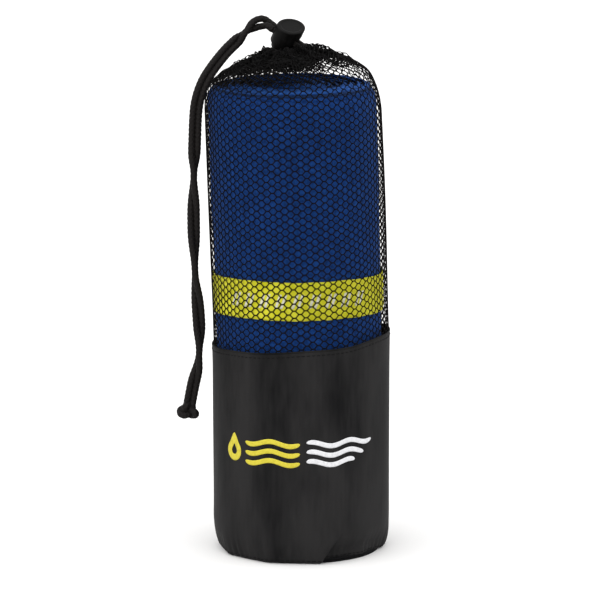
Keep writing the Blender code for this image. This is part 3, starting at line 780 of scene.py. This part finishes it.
def towel_points(outline, pitch, steps, low, high):
    """The rolled cloth as points[step, outline], from its inner end to its outer end at the back."""
    spread = (pi / 2 + TURN * (np.arange(steps + 1) - steps) / TURN_STEPS)[:, None]
    inward = (steps - np.arange(steps + 1)) / TURN_STEPS
    wraps = np.where(inward == 0, 0, np.floor(inward - 1e-9))
    fresh = 1 - (inward - wraps)
    start = TOWEL_OUTSIDE - pitch * (wraps + 2) + pitch * smooth_step(fresh / 0.15)
    height = outline[None, :, 1]
    part = np.clip((height - low) / (high - low), 0, 1)
    reach = (start / TOWEL_OUTSIDE)[:, None]
    lift = (3.0 * reach * np.sin(spread) + 0.6 * np.sin(spread * 0.83 + 0.5)
            + 0.4 * np.sin(spread * 2.31 + 1.0) + 1.4 - 0.6 * np.exp(-inward / 0.8)[:, None])
    wave = (0.14 * np.sin(7 * spread + 30 * height) + 0.12 * np.sin(13 * spread - 55 * height)
            + 0.10 * np.sin(29 * spread + 90 * height) + 0.10 * np.sin(3 * spread + 160 * height))
    squeeze = 5.0 * np.exp(-(height - low) / (7 * MM)) + 2.6 * np.exp(-(high - height) / (2.6 * MM))
    squeeze = squeeze + 1.1 * np.exp(-((high - 2.2 * MM - height) / (0.8 * MM)) ** 2)
    swell = 0.6 * smooth_step((height - 165 * MM) / (40 * MM))
    radius = start[:, None] + outline[None, :, 0] + MM * (wave - 0.36 + swell)
    radius = np.maximum(radius - MM * squeeze * radius / TOWEL_OUTSIDE, 1.2 * MM)
    height = height + MM * lift * part ** 4
    return np.stack([ROLL_ASIDE + roll_middle(height) + radius * np.cos(spread),
                     radius * np.sin(spread), height], -1)


def build_towel(material):
    """The whole towel: folded in thirds along its length, then rolled up."""
    core = 2.4 * MM
    pitch = (TOWEL_OUTSIDE ** 2 - core ** 2) * pi / TOWEL_LENGTH
    turns = (TOWEL_OUTSIDE - core) / pitch - 1
    steps = int(turns * TURN_STEPS)
    low = TOWEL_BOX[0][2] + 1.3 * MM
    high = TOWEL_BOX[1][2] - 1.2 * MM
    outline = towel_outline(pitch, low, high)
    points = towel_points(outline, pitch, steps, low, high)
    columns = len(outline)
    faces = grid_faces(steps + 1, columns, False, True)[0][:, ::-1].tolist()
    for first, flip in ((0, 1), (steps * columns, -1)):
        for spot in range(columns // 2 - 1):
            twin = columns - 1 - spot
            face = [first + spot, first + spot + 1, first + twin - 1, first + twin]
            faces.append(face[::flip])
    data = new_mesh("towel_roll", points, faces)
    piece = add_piece("towel_roll", data, material, "bag")
    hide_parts("towel")


def band_points(theta, height, out=0.0):
    """Points on the band's outside; height is along its own axis from its middle."""
    radius = (BAND_BOX[1][1] - BAND_BOX[0][1]) / 2 + out
    radius = radius + MM * (0.85 + 0.07 * np.sin(6 * theta + 1.0) + 0.05 * np.sin(14 * theta))
    up = np.array((BAND_LEAN, 0.0, 1.0))
    back = np.array([0.0, 1.0, 0.0])
    across = np.cross(back, up)
    aside = np.array([ROLL_ASIDE, 0.0, 0.0])
    return (np.array(BAND_MIDDLE) + aside + across * (radius * np.cos(theta))[..., None]
            + back * (radius * np.sin(theta))[..., None] + up * height[..., None])


def build_band(material, ink):
    columns = 360
    theta = angles_round(columns)
    half = 10.4 * MM
    part = np.linspace(-1.0, 1.0, 25)
    edge = 0.16 * MM * np.sin(5 * theta) + 0.10 * MM * np.sin(17 * theta)
    height = half * part[:, None] + edge[None]
    curl = 0.25 * MM * np.clip(np.abs(part) * 4 - 3, 0, 1)[:, None]
    points = band_points(np.broadcast_to(theta, height.shape), height, -curl)
    uv = (BAND_RADIUS * TURN * np.arange(columns + 1) / columns, half * part)
    data = grid_mesh("roll_band_cloth", points, around=True, uv=uv)
    piece = add_piece("roll_band_cloth", data, material, "band")
    solidify(piece, 0.55 * MM)
    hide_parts("roll_band")
    build_band_marks(ink)


def build_band_marks(ink):
    """Pairs of slanted strokes round the band's front."""
    tall, wide = np.meshgrid(np.linspace(-3.8, 3.8, 7) * MM, np.linspace(-0.75, 0.75, 4) * MM,
                             indexing="ij")
    slant = 0.35 * tall
    marks = []
    for mark in range(18):
        middle = radians(-92) + (mark // 2 - 4) * radians(11.2) + (mark % 2) * radians(3.6)
        turn = middle + (wide + slant) / BAND_RADIUS
        marks.append(band_points(turn, tall, 0.10 * MM))
    piece = add_piece("band_marks", patch_mesh("band_marks", marks), ink, "band")
    solidify(piece, 0.12 * MM)


# ---- Print on the nylon ------------------------------------------------------------------
def wave_stripe(start, end, middle):
    """A wavy stripe on the nylon; distances run round the front, in mm from its middle."""
    swing = 1.15
    half = 1.35
    run = np.linspace(start, end, 60)
    taper = np.sqrt(np.clip(1 - np.abs(2 * (run - start) / (end - start) - 1) ** 12, 0.02, 1))
    across = np.linspace(-1, 1, 5)
    theta = FRONT + run * MM / SLEEVE_RADIUS
    height = (middle + swing * np.sin(run / 3.6)[None] + half * across[:, None] * taper[None]) * MM
    return sleeve_points(np.broadcast_to(theta, height.shape), height, PRINT_LIFT)


def drop_patch(centre, middle, size):
    """A water drop on the nylon, in mm too."""
    turn = np.linspace(0, TURN, 49)
    ring = np.linspace(0.38, 1.0, 5)
    point = 1 + 0.75 * np.clip(np.sin(turn), 0, 1) ** 9
    run = centre + size * ring[:, None] * np.cos(turn)[None]
    height = middle + size * ring[:, None] * (np.sin(turn) * point)[None]
    theta = FRONT + run * MM / SLEEVE_RADIUS
    return sleeve_points(theta, height * MM, PRINT_LIFT)


def build_print(yellow, white):
    """A yellow drop and waves on the left, white waves on the right."""
    rows = (67.0, 61.8, 56.6)
    left = [drop_patch(-41.5, 60.6, 5.6)]
    left += [wave_stripe(-32.5, -0.5, middle) for middle in rows]
    right = [wave_stripe(3.0, end, middle) for end, middle in zip((44.5, 38.0, 31.5), rows)]
    for name, patches, ink, slot in (("print_yellow", left, yellow, "print_yellow"),
                                     ("print_white", right, white, "print_white")):
        piece = add_piece(name, patch_mesh(name, patches), ink, "bag")
        solidify(piece, 0.10 * MM)


# ---- The drawcord ------------------------------------------------------------------------
def twist_at(distance, first):
    """How far the strands have turned round each other at a distance from the lock."""
    stops = [(0.0, first), (TWIST_START, first)] + [(s, radians(a)) for s, a in PAIR_TWIST]
    for (s0, a0), (s1, a1) in zip(stops, stops[1:]):
        if distance <= s1:
            part = (distance - s0) / (s1 - s0)
            return a0 + (a1 - a0) * part * part * (3 - 2 * part)
    return stops[-1][1]


def strand_paths():
    """Both strands' middle lines, twisted round the pair's, and the way across it."""
    middle = smooth_curve(PAIR_ROUTE, 0.36 * MM)
    along = unit(np.gradient(middle, axis=0))
    side = unit(np.cross([0.0, 1.0, 0.0], along))
    depth = np.cross(along, side)
    first = atan2(-np.dot(LOCK_ACROSS, depth[0]), -np.dot(LOCK_ACROSS, side[0]))
    walked = distance_along(middle)
    turn = np.array([twist_at(distance, first) for distance in walked])
    aside = side * np.cos(turn)[:, None] + depth * np.sin(turn)[:, None]
    close = (1 + 0.15 * np.exp(-((walked - 8 * MM) / (3 * MM)) ** 2)
             - 0.10 * smooth_step((walked - 12 * MM) / (8 * MM)))
    aside = aside * (STRAND_SPACING * close)[:, None]
    return [middle + aside * half for half in (0.5, -0.5)], side


def braid(path, radius):
    """Radii for a braided sheath: two families of yarns crossing."""
    turn = TURN * (np.arange(BRAID_SIDES) + 0.5)[None] / BRAID_SIDES
    pitch = TURN * distance_along(path)[:, None] / (2.5 * MM)
    raised = np.maximum(np.cos(5 * turn + pitch), np.cos(5 * turn - pitch))
    return (radius * (0.88 + 0.12 * raised))[None]


def braided_tube(name, path, outward, radius, material):
    size = braid(path, radius)
    data = tube_mesh(name, path[None], outward[None], size, size, BRAID_SIDES)
    return add_piece(name, data, material, "bag")


def build_cords(material):
    paths, side = strand_paths()
    knot = build_knot(material)
    for name, path in zip(("a", "b"), paths):
        piece = braided_tube("cord_strand_" + name, path, side, BRAID_RADIUS, material)
        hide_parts("drawcord_strand_" + name)


def build_knot(material):
    """Both ends in one overhand knot: three fat turns of doubled cord."""
    t = np.linspace(0, TURN, 301)[:-1]
    x = 1.56 * MM * (np.sin(t) + 2 * np.sin(2 * t))
    z = -1.16 * MM * (np.cos(t) - 2 * np.cos(2 * t))
    y = -1.9 * MM * np.sin(3 * t)
    path = np.stack([x, y, z], 1)
    path = np.vstack([path, path[:1] + (path[1] - path[0]) * 0.4])
    turn = radians(-8)
    tilt = np.array([[cos(turn), 0, -sin(turn)], [0, 1, 0], [sin(turn), 0, cos(turn)]])
    path = path @ tilt.T + np.array(KNOT_MIDDLE) + np.array([-0.3, 0.0, 1.4]) * MM
    outward = np.broadcast_to([0.0, -1.0, 0.15], path.shape)
    piece = braided_tube("cord_knot", path, outward, KNOT_BRAID_RADIUS, material)
    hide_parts("drawcord_knot")
    return piece


# ---- The cord lock -----------------------------------------------------------------------
def lock_matrix():
    """From the lock's own frame to the world: x lies along its slide, z along the press."""
    axis = Vector(JOINTS["plunger_press"]["axis"]).normalized()
    way = Vector(JOINTS["cord_lock_slide"]["axis"])
    way = (way - axis * way.dot(axis)).normalized()
    turn = Matrix((way, axis.cross(way), axis)).transposed()
    return Matrix.Translation(LOCK_MIDDLE) @ turn.to_4x4()


def slot_cutter(low, high):
    """A bar along x, through the whole part, with its long edges rounded."""
    data = bpy.data.meshes.new("slot_cutter")
    bar = bmesh.new()
    bmesh.ops.create_cube(bar, size=1.0)
    size = Matrix.Diagonal((30 * MM, LOCK_SLOT, (high - low) * MM, 1.0))
    bar.transform(Matrix.Translation((0, 0, (low + high) * MM / 2)) @ size)
    long_edges = [edge for edge in bar.edges if abs(edge.verts[0].co.x - edge.verts[1].co.x) > 0.01]
    bmesh.ops.bevel(bar, geom=long_edges, offset=SLOT_ROUNDING, segments=8, affect="EDGES", profile=0.5)
    bar.to_mesh(data)
    bar.free()
    return data


def cut_slot(data, low, high):
    """A copy of the mesh with the cords' slot cut through it."""
    blank = add_object("slot_blank", data)
    cutter = add_object("slot_cutter", slot_cutter(low, high))
    modifier = blank.modifiers.new("slot", "BOOLEAN")
    modifier.object = cutter
    modifier.solver = "EXACT"
    ready = bpy.data.meshes.new_from_object(blank.evaluated_get(bpy.context.evaluated_depsgraph_get()))
    bpy.data.objects.remove(blank)
    bpy.data.objects.remove(cutter)
    ready.materials.clear()
    return ready


def turned_piece(name, outline, slot, slant, material, body):
    """A turned, moulded part with the cords' slot cut through it; outline is (radius, height).

    The slot is its lower and upper height in mm. The slant tips everything over the slot: a
    rise for each metre along x and y.
    """
    sides = 120
    turn = TURN * np.arange(sides) / sides
    outline = resample_corners(np.array(outline) * MM, 0.22 * MM)
    rings = np.stack([outline[:, :1] * np.cos(turn), outline[:, :1] * np.sin(turn),
                      np.broadcast_to(outline[:, 1:], (len(outline), sides))], -1)
    over = smooth_step((rings[:, :, 2] - SLANT_START) / SLANT_REACH)
    rings[:, :, 2] += over * (rings[:, :, :2] @ np.array(slant))
    faces = grid_faces(len(outline), sides, False, True)[0][:, ::-1].tolist()
    faces.append(list(range(sides)))
    faces.append([(len(outline) - 1) * sides + side for side in reversed(range(sides))])
    ready = cut_slot(new_mesh(name, rings, faces), *slot)
    ready.transform(lock_matrix())
    ready.name = name
    piece = add_piece(name, ready, material, body)
    ready.set_sharp_from_angle(angle=radians(40))
    return piece


def resample_corners(points, reach):
    """Rounds each inner corner of a polyline over a small reach."""
    line = [points[0]]
    for before, corner, after in zip(points, points[1:], points[2:]):
        back = before - corner
        ahead = after - corner
        size = min(reach, 0.45 * np.linalg.norm(back), 0.45 * np.linalg.norm(ahead))
        start = corner + size * back / np.linalg.norm(back)
        end = corner + size * ahead / np.linalg.norm(ahead)
        for t in np.linspace(0, 1, 5):
            line.append((1 - t) ** 2 * start + 2 * t * (1 - t) * corner + t * t * end)
    line.append(points[-1])
    return np.array(line)


def build_lock(material):
    """The barrel, with its shallow dished cap, and the push button in it."""
    barrel = [(0.05, 7.2), (5.3, 7.2), (5.7, 7.45), (7.1, 7.45), (7.5, 7.05), (7.5, 6.3), (7.5, 3.9),
              (7.5, -4.6), (7.0, -5.1), (6.2, -5.1), (6.2, 3.9), (6.2, 6.5), (0.05, 6.5)]
    piece = turned_piece("lock_barrel", barrel, (-1.85, 3.85), LOCK_SLANT, material, "cord_lock")
    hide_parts("cord_lock_barrel")
    button = [(0.05, 2.65), (5.9, 2.65), (5.9, -7.7), (5.4, -8.2), (3.6, -8.2), (3.2, -7.8), (0.05, -7.8)]
    piece = turned_piece("lock_button", button, (-3.85, 1.85), (0.0, 0.0), material, "plunger")
    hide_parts("cord_lock_plunger")


# ---- CAD pieces that keep their shape ----------------------------------------------------
def paint(material, *nodes):
    """Gives CAD pieces a new material."""
    for name in nodes:
        for slot in frame["nodes"][name].material_slots:
            slot.material = material


def main():
    build_camera()
    build_stage()
    nylon = nylon_material()
    net = knit_material("net", (0.0010, 0.0009, 0.0009), (0.0032, 0.0029, 0.0029), 0.8, 0.8 * MM)
    tape = knit_material("binding_tape", (0.0028, 0.0028, 0.003), (0.0065, 0.0065, 0.007), 0.85, 0.6 * MM)
    cord = cord_material()
    plastic = plastic_material()
    white = print_material("print_white", (0.49, 0.49, 0.51), (0.60, 0.60, 0.615))
    pale = print_material("band_print", (0.46, 0.45, 0.33), (0.58, 0.57, 0.46))
    yellow = print_material("print_yellow", (0.43, 0.36, 0.007), (0.51, 0.435, 0.018))

    build_cords(cord)
    build_nylon(nylon, tape)
    build_net(net, tape)
    build_casing(net)
    build_towel(towel_material())
    build_band(band_material(), pale)
    build_print(yellow, white)
    paint(tape, "base_panel", "base_seam_binding", "mesh_join_tape", "nylon_seam_tape_left",
          "nylon_seam_tape_right")
    paint(cord, "drawcord_mouth_loop")
    build_lock(plastic)
    paint(steel_material(), "cord_lock_spring")


main()
